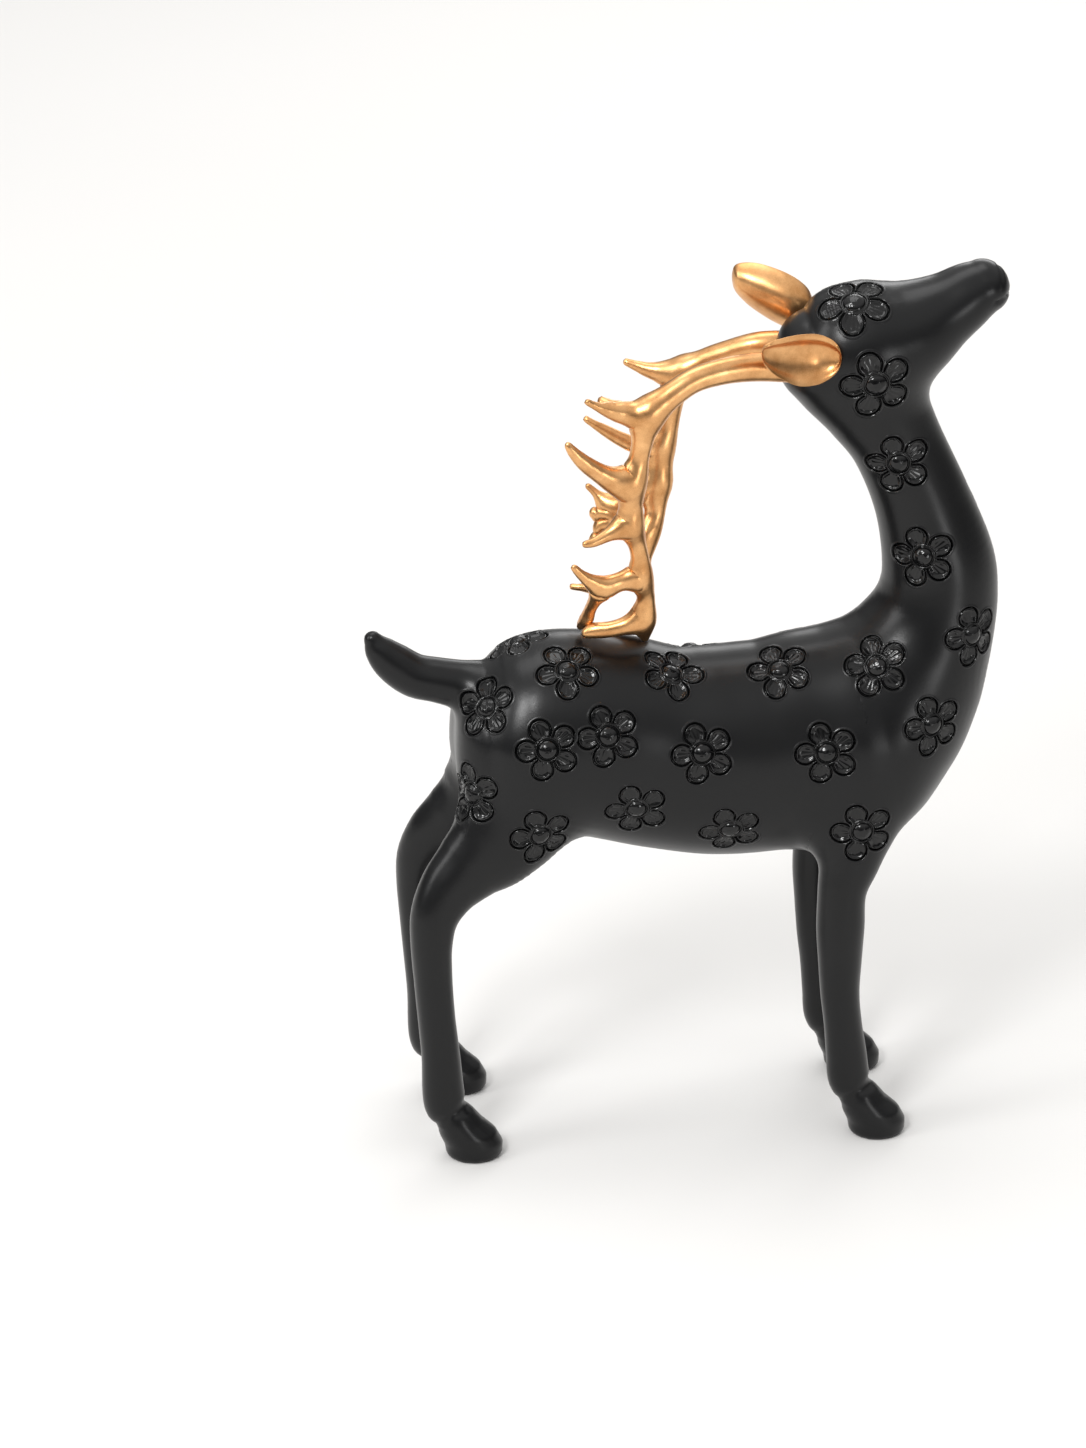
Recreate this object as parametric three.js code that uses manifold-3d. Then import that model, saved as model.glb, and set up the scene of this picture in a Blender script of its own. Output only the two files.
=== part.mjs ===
/**
 * Standing stag statue: a black casting with sunk five-petal flowers, two antlers that
 * sweep back over the withers, and two leaf-shaped ears. Millimetres, +Z up, nose towards +X,
 * left side towards +Y, hooves on the ground plane.
 */
import * as THREE from 'three';
import Module from 'manifold-3d';

const wasm = await Module();
wasm.setup();

/**
 * Driving sizes. The stations below are drawn for a statue of the drawn height and scale with
 * its height; the seam round antlers and ears stays as it is.
 */
const statue = { height: 450, drawnHeight: 450, seam: 0.35 };
const unit = statue.height / statue.drawnHeight;
const flower = {
  radius: 15.2,      // tip of a petal from the centre
  notch: 0.8,        // depth of the gap between petals, as a share kept of the radius
  petals: 5,
  pointsPerPetal: 3,
  depth: 1.5,        // how far the pocket is sunk
  clearance: 4.5,    // how far the cutter stands out of the skin
  domeRadius: 4.9,
  domeHeight: 2.1,   // height of the dome above the pocket floor
  lean: -0.35,       // how far every flower's first petal leans back from upright
};
const antlerFlat = 0.85; // thickness of beam and tines as a share of their width seen from the side
const ear = {
  scoop: 5.2,        // depth of the hollow where the ear is widest
  thickness: 3.2,    // of the leaf in the middle
  rimShare: 0.35,    // thickness of the rim as a share of that
  widest: 13,        // half height with the full scoop
  thinning: 6,       // half height below which the leaf gets thinner
  across: 8,         // facets across
  leftRise: 10,      // how much higher the left ear sits
};

const finish = {
  black: { color: 0x17181a, roughness: 0.42, metalness: 0.2 },
  bronze: { color: 0xb9783f, roughness: 0.3, metalness: 0.9 },
};

/**
 * Each station is [x, y, z, half width across, half depth], a point on the centre line and the
 * two half sizes of the oval there.
 */
const trunk = [
  [-99, 0, 214, 30, 33],
  [-91, 0, 214, 38, 41],
  [-79, 0, 214, 42.5, 47.6],
  [-60, 0, 213, 44, 50.8],
  [-36, 0, 208.3, 44, 51.6],
  [-11, 0, 201.5, 43, 51.5],
  [14, 0, 198.6, 43, 53.6],
  [39, 0, 197.8, 43, 52.9],
  [64, 0, 201.8, 42, 52.6],
  [84, 0, 206.6, 41, 49],
  [97, 0, 212, 35, 40],
];
const neck = [
  [79, 0, 171.5, 33, 34.5],
  [89, 0, 190.5, 39, 40],
  [101.9, 0, 215.8, 41, 41.8],
  [113.5, 0, 238, 37, 38.1],
  [121.5, 0, 257, 32.5, 32.5],
  [125.8, 0, 278, 28.5, 29.4],
  [124.7, 0, 297, 26, 27.3],
  [115.9, 0, 327, 22.5, 23.3],
  [103.3, 0, 356, 22, 22.3],
  [92.4, 0, 376, 24, 25.5],
  [83, 0, 391, 25.5, 28.5],
  [75, 0, 402, 25, 27],
];
const withers = [
  [38, 0, 227, 24, 21],
  [58, 0, 232, 26, 23.5],
  [74, 0, 234.6, 26.5, 24],
  [90, 0, 240, 27, 24.5],
  [106, 0, 250.5, 27, 25],
];
const head = [
  [62, 0, 404.5, 21, 21],
  [74, 0, 407.5, 27.5, 28.5],
  [91, 0, 408.5, 29.5, 30.3],
  [108, 0, 413.5, 25.5, 25.2],
  [125, 0, 422.6, 18.5, 17.2],
  [137, 0, 430.8, 15, 14.8],
  [145, 0, 434.9, 12.8, 13.2],
  [150.9, 0, 437.2, 10.8, 11.8],
];
const tail = [
  [-152.6, 0, 266.4, 3.8, 4.2],
  [-149, 0, 260.6, 6.4, 7.6],
  [-142.5, 0, 253.5, 8.5, 10],
  [-132.3, 0, 246, 10, 10.9],
  [-120.6, 0, 242.8, 10.8, 11.2],
  [-102, 0, 238, 12, 12.8],
];
const foreleg = [
  [92, 20, 205, 19, 30],
  [84, 26, 178, 18, 25],
  [79.2, 32, 150, 13.5, 16],
  [75.4, 35, 134, 11.3, 12.2],
  [74.8, 36, 115, 11.3, 12],
  [75, 36, 97, 10.4, 10.9],
  [75.4, 36, 79, 9.4, 9.8],
  [77.2, 36, 62, 9.2, 9.5],
  [79.4, 36, 44, 9.6, 10.2],
  [81.4, 36, 30, 9.6, 10],
  [83.4, 36, 21, 9.2, 9.4],
  [85.4, 36, 14, 7, 7.4],
];
const hindleg = [
  [-74, 17, 208, 25, 38],
  [-83.8, 21, 183, 22, 31.4],
  [-96.5, 26, 166, 17, 24.8],
  [-109.2, 29, 155, 14, 18.6],
  [-119.5, 32, 145, 12, 15],
  [-126.5, 34.5, 132.5, 11, 12.2],
  [-128.5, 36, 118, 10.2, 10.4],
  [-128, 36, 100, 9.4, 9.6],
  [-126.5, 36, 78, 9, 9.3],
  [-124.5, 36, 56, 9.3, 9.6],
  [-122.5, 36, 32, 9.6, 10],
  [-120.4, 36, 21, 9.2, 9.4],
  [-118.4, 36, 14, 7, 7.4],
];
/** Hoof outline by height: [z, centre x ahead of the leg foot, half length, half width]. */
const hoofLevels = [
  [0, 12.9, 12.6, 11.6],
  [2, 12.9, 14.1, 12.8],
  [7, 12.8, 14.4, 13],
  [13, 10.2, 13.6, 12.6],
  [19, 5.7, 11.7, 11.2],
  [25, 1.9, 9.9, 9.9],
  [29, 0.6, 7.2, 7.4],
];
const foreFoot = { x: 82.8, y: 36 };
const hindFoot = { x: -121, y: 36 };

/** Antlers, right and left; each branch is [x, y, z, half width] from its root to its tip. */
const rightAntler = {
  beam: [
    [60, -11, 399, 7], [52.7, -13, 401, 7.2], [32.7, -17, 404.2, 7.1], [16.2, -21.5, 404.8, 6.6],
    [1.3, -25, 402.5, 6.2], [-8.5, -27, 397.6, 6.3], [-17.2, -28, 390.8, 6.9],
    [-23.2, -28.5, 381.2, 6.3], [-25.6, -28, 369.9, 5.1], [-27.2, -27.5, 359.6, 4.9],
    [-28.9, -26.5, 348.1, 5], [-29.5, -25.5, 338.5, 5.3], [-28.4, -24, 327.6, 4.9],
    [-25.8, -22, 316.3, 4.5], [-24.1, -20.5, 308.4, 4.5], [-22.1, -18, 297.9, 4.5],
    [-20.6, -15, 286.1, 4.4], [-20.6, -12, 275.4, 4.6], [-20.4, -9.5, 267, 3.5],
    [-20.1, -8.5, 262.9, 2.2],
  ],
  tines: [
    [[-20.5, -28, 388.9, 6.2], [-29.2, -29, 387.4, 5.2], [-37.6, -31, 389.1, 3.6],
      [-44.6, -33, 392.2, 2.5], [-49.5, -34, 395, 1.8], [-52.5, -35, 397.1, 0.9]],
    [[-34.9, -28, 389.6, 2.4], [-40, -27, 391.7, 1.8], [-43.2, -26, 393.3, 1.2],
      [-44.8, -25.5, 394.2, 0.8]],
    [[-27.2, -26.5, 350.1, 6.7], [-37.1, -28.5, 353.4, 6.8], [-45.6, -31, 359.1, 5],
      [-53.1, -33, 365.3, 4.1], [-58.8, -34.5, 371.7, 3], [-61.7, -35, 376.1, 1.3]],
    [[-28.2, -24.5, 330.9, 5.3], [-35.7, -26.5, 328.7, 4.6], [-42.8, -29, 325.9, 3.3],
      [-48.8, -31, 323.8, 2.5], [-53.3, -32, 323.5, 1.4]],
    [[-22.8, -18.5, 299.2, 4.8], [-33.3, -21, 299.2, 4.7], [-41.4, -23, 298.3, 4.6],
      [-48.4, -25, 301.1, 3.9], [-54, -26.5, 305.8, 2.7], [-57.7, -27.5, 310.3, 1.3]],
    [[-43.2, -22.5, 296.7, 4.6], [-46.1, -17, 287.7, 3.5], [-48.1, -10, 279.2, 3],
      [-49.9, -3.5, 271.6, 2.7], [-50.9, 0, 267.2, 2.2]],
    [[-20.8, -12.5, 277.8, 4.4], [-26.2, -13, 273.8, 4.6], [-33.1, -13, 271.6, 4.3],
      [-40.8, -12.5, 270, 3.9], [-46.6, -12, 268.9, 2.9], [-50.2, -11.5, 268.2, 1.6]],
  ],
};
const leftAntler = {
  beam: [
    [62, 11, 404, 7], [54.6, 13, 403.5, 7.2], [37.7, 14, 403.6, 7], [24.2, 18, 399, 6.8],
    [11.4, 22, 393, 6.7], [2.6, 25, 385.1, 6.5], [-1.4, 27, 375.8, 5.6], [-3.1, 28, 366.2, 5.1],
    [-4.9, 28, 353.8, 5], [-6.8, 28, 341.4, 5], [-7.7, 27.5, 330.2, 4.8], [-9.3, 26, 319.3, 4.3],
    [-11.7, 24, 308.7, 4.6], [-15.1, 22, 299.1, 4.4], [-17.6, 20, 291.6, 4.2],
    [-17.4, 17, 283.3, 4], [-16.8, 14, 273.9, 3.8], [-17, 10.5, 265.8, 3.8], [-17.3, 8, 260, 2.9],
  ],
  tines: [
    [[5.5, 25, 389.6, 5.8], [-3.4, 27, 387.7, 5.3], [-12.5, 28.5, 387.8, 4.3],
      [-19.6, 30, 389.9, 2.9], [-25.3, 31, 392.1, 1.2]],
    [[-6.3, 28, 348.7, 4.6], [-14.1, 28.5, 348.9, 4.2], [-20.9, 29, 349.8, 4.3],
      [-27.7, 30, 352.8, 3.7], [-34.4, 31, 356.7, 3.1], [-40.7, 32, 360.5, 2.2],
      [-44.2, 33, 362.8, 1.1]],
    [[-7.2, 28, 333.1, 4.9], [-13.1, 28, 329.2, 4.6], [-19.8, 28.5, 324.1, 4.6],
      [-27.6, 29.5, 319.6, 4.6], [-34.9, 30, 321.1, 3.5], [-39.7, 31, 325.1, 2.2],
      [-43.3, 32, 328.3, 1.1]],
    [[-26.6, 29.5, 317.2, 3.4], [-33.9, 30, 314.7, 2.9], [-38.2, 31, 313.5, 1.9],
      [-41.1, 31.5, 314.2, 0.9]],
    [[-25.6, 29.5, 314.5, 3.4], [-32.4, 29.5, 311.2, 2.7], [-36.4, 29, 307.9, 1.6],
      [-37.9, 29, 305.9, 1]],
    [[-14.6, 22.5, 304.2, 3.9], [-22.3, 24, 306.6, 3.4], [-28.9, 26, 305.6, 2.9],
      [-35.6, 27.5, 302.9, 2.2], [-41.3, 29, 300, 1.2]],
    [[-17.5, 18.5, 285.9, 3.9], [-26, 21, 282.6, 3.4], [-35.1, 23, 279.9, 3.2],
      [-42.8, 25, 277.9, 2.5], [-48.1, 26, 277.2, 2], [-51.7, 27, 277.5, 1.3]],
    [[-36.7, 22.5, 277.8, 3.2], [-41.1, 17, 273.4, 2.4], [-44.6, 12.5, 270.1, 2.2],
      [-46.9, 10, 267.6, 2]],
    [[-17.4, 11, 266.2, 3.4], [-24.8, 11, 263.4, 3.2], [-33.7, 11, 261.7, 2.7],
      [-40.7, 10.5, 261.2, 2.3], [-44.7, 10, 261.1, 1.5]],
  ],
};

/** Ears: centre line from root to tip [x, z, half height, stand-off from the middle plane]. */
const earLine = [
  [69.6, 411.5, 2.6, 29.8],
  [67.2, 411.6, 7.2, 30],
  [63, 411.8, 10.6, 30.6],
  [57, 412.2, 12.8, 32],
  [48.5, 413.2, 12.9, 34.7],
  [40.5, 415.1, 10.5, 36.9],
  [34, 417.2, 7.4, 38.6],
  [29.6, 419, 3.4, 39.6],
];

/** Flower centres near the skin, on the right side and over the ridge, then on the left; a
 *  fourth number is how much wider than the others a flower is. */
const flowers = [
  [78, -13, 434, 1.12], [87, -27, 397, 1.12], [100, -22, 353], [112, -25, 305], [139, -26, 264],
  [118, -37, 222], [91, -28, 251], [45, -18, 246], [65, -41, 212], [83, -44, 170],
  [19, -36, 171], [-8, -18, 249], [4, -41, 215], [-28, -40, 186], [-42, -42, 227],
  [-72, -43, 222], [-75, -40, 175], [-60, -24, 256], [-82, 6, 262], [-100, -23, 238],
  [-106, -29, 195],
  [88, 27, 400], [101, 22, 352], [138, 15, 321], [138, 27, 262], [104, 34, 240],
  [59, 25, 246], [80, 44, 184], [6, 21, 248], [24, 40, 186], [-28, 41, 205], [-73, 43, 202],
];

const black = new THREE.MeshStandardMaterial(finish.black);
const bronze = new THREE.MeshStandardMaterial(finish.bronze);
const across = new THREE.Vector3(0, 1, 0);
const upright = new THREE.Vector3(flower.lean, 0, 1);

/** Turns a list of points and faces into a closed solid whose faces look outwards. */
function solid(points, faces) {
  let volume = 0;
  for (const [a, b, c] of faces) volume += points[a].dot(points[b].clone().cross(points[c]));
  const ordered = volume < 0 ? faces.map(([a, b, c]) => [a, c, b]) : faces;
  return new wasm.Manifold(new wasm.Mesh({
    numProp: 3,
    vertProperties: new Float32Array(points.flatMap((p) => p.toArray())),
    triVerts: new Uint32Array(ordered.flat()),
  }));
}

/** Skins a run of rings, each a list of the same number of points, and closes both ends. */
function skin(rings) {
  const sides = rings[0].length;
  const points = rings.flat();
  const faces = [];
  for (let i = 0; i + 1 < rings.length; i += 1) {
    for (let j = 0; j < sides; j += 1) {
      const a = i * sides + j;
      const b = i * sides + ((j + 1) % sides);
      faces.push([a, b, b + sides], [a, b + sides, a + sides]);
    }
  }
  const last = (rings.length - 1) * sides;
  for (const [start, flip] of [[0, true], [last, false]]) {
    const centre = new THREE.Vector3();
    for (let j = 0; j < sides; j += 1) centre.add(points[start + j]);
    points.push(centre.divideScalar(sides));
    for (let j = 0; j < sides; j += 1) {
      const edge = [start + j, start + ((j + 1) % sides)];
      faces.push(flip ? [edge[1], edge[0], points.length - 1] : [...edge, points.length - 1]);
    }
  }
  return solid(points, faces);
}

/** Smooth oval limb through its stations, with rounded ends; grow thickens it all over. */
function limb(stations, { sides, steps, grow = 0, ends = 0.75, open = false }) {
  const line = new THREE.CatmullRomCurve3(
    stations.map(([x, y, z]) => new THREE.Vector3(x, y, z).multiplyScalar(unit)),
    false, 'catmullrom', 0.5,
  );
  const sizes = new THREE.CatmullRomCurve3(
    stations.map((s) => new THREE.Vector3(s[3], s[4] ?? s[3], 0).multiplyScalar(unit)),
    false, 'catmullrom', 0.5,
  );
  const capTurns = [0.86, 0.5];
  const marks = [];
  for (const turn of open ? [] : capTurns) marks.push([0, turn, -1]);
  for (let i = 0; i <= steps; i += 1) marks.push([i / steps, 0, 0]);
  for (const turn of [...capTurns].reverse()) marks.push([1, turn, 1]);
  return skin(marks.map(([t, turn, way]) => {
    const along = line.getTangent(t);
    const side = across.clone().addScaledVector(along, -along.y).normalize();
    const up = along.clone().cross(side);
    const size = sizes.getPoint(t);
    const reach = ((size.x + size.y) / 2) * ends + grow;
    const swell = turn * Math.PI / 2;
    const centre = line.getPoint(t).addScaledVector(along, way * reach * Math.sin(swell));
    const shrink = Math.cos(swell);
    return Array.from({ length: sides }, (_, j) => {
      const angle = (2 * Math.PI * (j + 0.5)) / sides;
      return centre.clone()
        .addScaledVector(side, (size.x + grow) * shrink * Math.cos(angle))
        .addScaledVector(up, (size.y + grow) * shrink * Math.sin(angle));
    });
  }));
}

/** Mirrors a list of stations to the other side of the middle plane. */
const mirrored = (stations) => stations.map(([x, y, ...rest]) => [x, -y, ...rest]);

/** Hoof with a flat sole under a leg whose foot stands at x, y. */
function hoof({ x, y }) {
  const sides = 12;
  return skin(hoofLevels.map(([z, ahead, length, width]) => Array.from(
    { length: sides },
    (_, j) => {
      const angle = (2 * Math.PI * j) / sides;
      return new THREE.Vector3(
        x + ahead + length * Math.cos(angle),
        y + width * Math.sin(angle),
        z,
      ).multiplyScalar(unit);
    },
  )));
}

/** The plain casting without its flowers. */
function plainBody(grow = 0) {
  const legs = [foreleg, mirrored(foreleg), hindleg, mirrored(hindleg)]
    .map((leg) => limb(leg, { sides: 9, steps: 12, grow, open: true }));
  const parts = [
    limb(trunk, { sides: 22, steps: 11, grow, ends: 0.42 }),
    limb(neck, { sides: 18, steps: 12, grow }),
    limb(withers, { sides: 14, steps: 6, grow, ends: 0.6 }),
    limb(head, { sides: 16, steps: 9, grow, ends: 0.38 }),
    limb(tail, { sides: 9, steps: 6, grow, ends: 0.9 }),
    ...legs,
  ];
  for (const foot of [foreFoot, hindFoot]) {
    parts.push(hoof(foot), hoof({ x: foot.x, y: -foot.y }));
  }
  return parts.reduce((whole, piece) => whole.add(piece));
}

/** Geometry for a solid. */
function geometryOf(body) {
  const { vertProperties, triVerts } = body.getMesh();
  const geometry = new THREE.BufferGeometry();
  geometry.setAttribute('position', new THREE.BufferAttribute(vertProperties, 3));
  geometry.setIndex(new THREE.BufferAttribute(triVerts, 1));
  geometry.computeVertexNormals();
  return geometry;
}

const bare = plainBody();
const target = new THREE.Mesh(geometryOf(bare), black);
target.material.side = THREE.DoubleSide;
const probe = new THREE.Raycaster();

/** Point of the skin met first from a start point in a direction, or null. */
function skinPoint(start, direction, reach = Infinity) {
  probe.set(start, direction);
  probe.far = reach;
  const hit = probe.intersectObject(target)[0];
  return hit ? hit.point.clone() : null;
}

/** Seat of a flower: centre on the skin, outward normal, first petal and the way across it. */
function seat([x, y, z, wider = 1]) {
  const wanted = new THREE.Vector3(x, y, z).multiplyScalar(unit);
  const { position, normal: slopes } = target.geometry.attributes;
  const normal = new THREE.Vector3();
  for (let i = 0; i < position.count; i += 1) {
    const gap = new THREE.Vector3().fromBufferAttribute(position, i).distanceTo(wanted);
    const weight = Math.exp(-((gap / (9 * unit)) ** 2));
    normal.addScaledVector(new THREE.Vector3().fromBufferAttribute(slopes, i), weight);
  }
  normal.normalize();
  const inward = normal.clone().negate();
  const centre = skinPoint(wanted.addScaledVector(normal, 12 * unit), inward);
  const tangent = upright.clone().addScaledVector(normal, -upright.dot(normal)).normalize();
  return { centre, normal, tangent, cross: normal.clone().cross(tangent), wider };
}

/** Cutter for a flower pocket that follows the skin and leaves the dome standing in it. */
function pocketCutter({ centre, normal, tangent, cross, wider }) {
  const { petals, pointsPerPetal } = flower;
  const count = petals * pointsPerPetal;
  const lift = 14 * unit;
  const onSkin = (radius, angle, height) => {
    const flat = centre.clone()
      .addScaledVector(tangent, radius * wider * unit * Math.cos(angle))
      .addScaledVector(cross, radius * wider * unit * Math.sin(angle));
    const hit = skinPoint(flat.clone().addScaledVector(normal, lift), normal.clone().negate(),
      2.2 * lift);
    return (hit ?? flat.addScaledVector(normal, -lift / 3)).addScaledVector(normal, height * unit);
  };
  const turn = (i, share) => (2 * Math.PI * (i + share)) / petals;
  const rim = (height) => Array.from({ length: count }, (_, i) => {
    const radius = flower.radius * (i % pointsPerPetal === 0 ? flower.notch : 1);
    return onSkin(radius, turn(i / pointsPerPetal, 0.5), height);
  });
  const dome = (radius, height) => Array.from(
    { length: petals },
    (_, i) => onSkin(radius, turn(i, 1), height),
  );
  const top = flower.domeHeight - flower.depth;
  const points = [
    ...rim(flower.clearance), ...rim(-flower.depth),
    ...dome(flower.domeRadius, -flower.depth),
    centre.clone().addScaledVector(normal, top * unit),
    centre.clone().addScaledVector(normal, flower.clearance * unit),
  ];
  const [floor, foot] = [count, 2 * count];
  const [peak, lid] = [foot + petals, foot + petals + 1];
  const faces = [];
  for (let i = 0; i < count; i += 1) {
    const next = (i + 1) % count;
    const at = foot + Math.floor(i / pointsPerPetal);
    faces.push([lid, i, next], [i, floor + i, floor + next], [i, floor + next, next],
      [floor + i, at, floor + next]);
  }
  for (let i = 0; i < petals; i += 1) {
    const next = (i + 1) % petals;
    faces.push([floor + next * pointsPerPetal, foot + i, foot + next],
      [foot + i, peak, foot + next]);
  }
  return solid(points, faces);
}

/** How much wider a facetted outline has to be to hold as much as the oval it stands for. */
const evenArea = (sides) => Math.sqrt((2 * Math.PI) / sides / Math.sin((2 * Math.PI) / sides));

/** Antler of one side: the beam and its tines joined, kept clear of the casting. */
function antler({ beam, tines }, fence) {
  const branch = (line, sides, steps) => {
    const sized = line.map(([x, y, z, half]) => {
      const wide = half * evenArea(sides);
      return [x, y, z, wide * antlerFlat, wide];
    });
    return limb(sized, { sides, steps, open: true });
  };
  return tines.reduce(
    (whole, tine) => whole.add(branch(tine, 6, tine.length)),
    branch(beam, 8, 19),
  ).subtract(fence);
}

/** Leaf-shaped ear, hollowed on its outer face; way is +1 on the left and -1 on the right. */
function earSolid(way, fence) {
  const rise = way > 0 ? ear.leftRise : 0;
  const rings = earLine.map(([x, z, half, off]) => {
    const outer = [];
    const inner = [];
    for (let j = 0; j <= ear.across; j += 1) {
      const share = (2 * j) / ear.across - 1;
      const edge = Math.sqrt(Math.max(0, 1 - share * share));
      const height = z + rise + half * share;
      const depth = ear.scoop * (half / ear.widest) * (1 - share * share);
      const bulk = ear.thickness * Math.min(1, half / ear.thinning)
        * (ear.rimShare + (1 - ear.rimShare) * edge);
      outer.push(new THREE.Vector3(x, way * (off - depth + bulk / 2), height));
      inner.push(new THREE.Vector3(x, way * (off - depth - bulk / 2), height));
    }
    return [...outer, ...inner.reverse()].map((point) => point.multiplyScalar(unit));
  });
  return skin(rings).subtract(fence);
}

const pockets = flowers.map(seat).map(pocketCutter).reduce((all, one) => all.add(one));
const fence = plainBody(statue.seam);

const nodes = [
  ['body', bare.subtract(pockets), black],
  ['right_antler', antler(rightAntler, fence), bronze],
  ['left_antler', antler(leftAntler, fence), bronze],
  ['right_ear', earSolid(-1, fence), bronze],
  ['left_ear', earSolid(1, fence), bronze],
];

black.side = THREE.FrontSide;
const stag = new THREE.Group();
stag.name = 'stag_statue';
for (const [name, body, material] of nodes) {
  const mesh = new THREE.Mesh(geometryOf(body), material);
  mesh.name = name;
  stag.add(mesh);
}

export default stag;
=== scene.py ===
import logging
import math
from dataclasses import dataclass
from enum import Enum
from typing import Callable, Sequence

import bpy
import numpy as np
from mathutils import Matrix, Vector


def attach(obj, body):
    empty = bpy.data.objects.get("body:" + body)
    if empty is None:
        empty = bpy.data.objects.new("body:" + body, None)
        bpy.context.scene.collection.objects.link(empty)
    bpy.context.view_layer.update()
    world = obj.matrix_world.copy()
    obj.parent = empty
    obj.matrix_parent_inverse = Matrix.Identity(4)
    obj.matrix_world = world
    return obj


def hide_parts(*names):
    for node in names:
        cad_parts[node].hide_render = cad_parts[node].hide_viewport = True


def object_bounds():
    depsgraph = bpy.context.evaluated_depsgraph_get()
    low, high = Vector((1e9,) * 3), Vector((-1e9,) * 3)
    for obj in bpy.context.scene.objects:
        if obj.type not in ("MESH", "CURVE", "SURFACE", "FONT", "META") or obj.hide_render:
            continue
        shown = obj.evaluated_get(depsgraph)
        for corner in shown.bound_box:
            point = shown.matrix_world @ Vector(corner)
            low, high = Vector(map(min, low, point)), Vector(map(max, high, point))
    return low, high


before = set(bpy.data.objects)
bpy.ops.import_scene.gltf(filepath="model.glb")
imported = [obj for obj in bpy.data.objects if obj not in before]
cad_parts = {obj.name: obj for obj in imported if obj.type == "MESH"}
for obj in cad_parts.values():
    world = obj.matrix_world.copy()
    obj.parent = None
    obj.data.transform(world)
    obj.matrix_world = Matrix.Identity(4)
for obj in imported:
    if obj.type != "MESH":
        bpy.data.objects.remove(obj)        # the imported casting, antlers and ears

CAD_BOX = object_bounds()
LOG = logging.getLogger("stag")
MM = 0.001
ACROSS = np.array([0.0, 1.0, 0.0])
PETAL_GUIDE = np.array([-0.35, 0.0, 1.0])      # first petals lean back from straight up
BLOCK = 30000               # points measured at a time
LONGEST_STEP = 4.0          # how far one round of settling moves a vertex at most
STEP_SHARE = 0.9            # share of the gap that one round closes
SMOOTH_ANGLE = 40.0         # degrees; sharper edges stay sharp
TINY = 1e-6                 # keeps divisions off zero and welds points that meet

Array = np.ndarray
Piece = bpy.types.Object
Shader = bpy.types.ShaderNodeTree
Pair = tuple[float, float]
Triple = tuple[float, float, float]
Station = tuple[float, ...]


class Side(Enum):
    """The stag's own sides, with the sign of Y there."""

    RIGHT = -1
    LEFT = 1


# Sizes in millimetres. A station is x, y, z, half width and half depth (or one half size).
TRUNK = (
    (-99, 0, 214, 30, 33), (-91, 0, 214, 38, 41), (-79, 0, 214, 42.5, 47.6),
    (-60, 0, 213, 44, 50.8), (-36, 0, 208.3, 44, 51.6), (-11, 0, 201.5, 43, 51.5),
    (14, 0, 198.6, 43, 53.6), (39, 0, 197.8, 43, 52.9), (64, 0, 201.8, 42, 52.6),
    (84, 0, 205.2, 41, 49), (97, 0, 207.4, 35, 40),
)
NECK = (
    (79, 0, 171.5, 33, 34.5), (89, 0, 190.5, 39, 40), (101.9, 0, 215.8, 41, 41.8),
    (113.5, 0, 238, 37, 38.1), (121.5, 0, 257, 32.5, 32.5), (125.8, 0, 278, 28.5, 29.4),
    (124.7, 0, 297, 26, 27.3), (115.9, 0, 327, 22.5, 23.3), (103.3, 0, 356, 22, 22.3),
    (92.4, 0, 376, 24, 25.5), (83, 0, 391, 25.5, 28.5), (75, 0, 402, 25, 27),
)
WITHERS = (
    (38, 0, 227, 23, 20), (58, 0, 231.5, 24.5, 22), (74, 0, 233.5, 25, 22.5),
    (90, 0, 238, 25, 22.5), (103, 0, 247, 24, 22),
)
HEAD = (
    (62, 0, 404.5, 21, 21), (74, 0, 407.5, 27.5, 28.5), (91, 0, 408.5, 29.5, 30.3),
    (108, 0, 413.8, 25.5, 25.6), (125, 0, 423.3, 18.8, 18.4), (136.5, 0, 430.6, 15.6, 15.5),
    (143.6, 0, 434.4, 13.3, 13.4),
)
TAIL = (
    (-152.6, 0, 266.4, 3.8, 4.2), (-149, 0, 260.6, 6.4, 7.6), (-142.5, 0, 253.5, 8.5, 10),
    (-132.3, 0, 246, 10, 10.9), (-120.6, 0, 242.8, 10.8, 11.2), (-102, 0, 238, 12, 12.8),
)
FORELEG = (
    (92, 20, 205, 19, 30), (84, 26, 178, 18, 25), (79.2, 32, 150, 13.5, 16),
    (75.4, 35, 134, 11.3, 12.2), (74.8, 36, 115, 11.3, 12), (75, 36, 97, 10.4, 10.9),
    (75.4, 36, 79, 9.4, 9.8), (77.2, 36, 62, 9.2, 9.5), (79.4, 36, 44, 9.6, 10.2),
    (80.9, 36, 31, 9.8, 10.5), (84.6, 36, 21, 8.8, 8.9),
)
HINDLEG = (
    (-74, 17, 208, 25, 38), (-83.8, 21, 183, 22, 31.4), (-96.5, 26, 166, 17, 24.8),
    (-109.2, 29, 155, 14, 18.6), (-119.5, 32, 145, 12, 15), (-126.5, 34.5, 132.5, 11, 12.2),
    (-128.5, 36, 118, 10.2, 10.4), (-128, 36, 100, 9.4, 9.6), (-126.5, 36, 78, 9, 9.3),
    (-124.5, 36, 56, 9.3, 9.6), (-122.9, 36, 31, 9.8, 10.5), (-119.2, 36, 21, 8.8, 8.9),
)
# height, centre ahead of the leg foot, half length, half width
HOOF = (
    (0, 12.9, 12.6, 11.6), (2, 12.9, 14.1, 12.8), (7, 12.6, 14.6, 13), (13, 9.6, 14.4, 12.8),
    (19, 5.2, 12.4, 11.6), (25, 2.6, 10.2, 10.2), (29, 1.4, 7.6, 7.6),
)
FEET = ((82.8, 36), (-121, 36))

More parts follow.
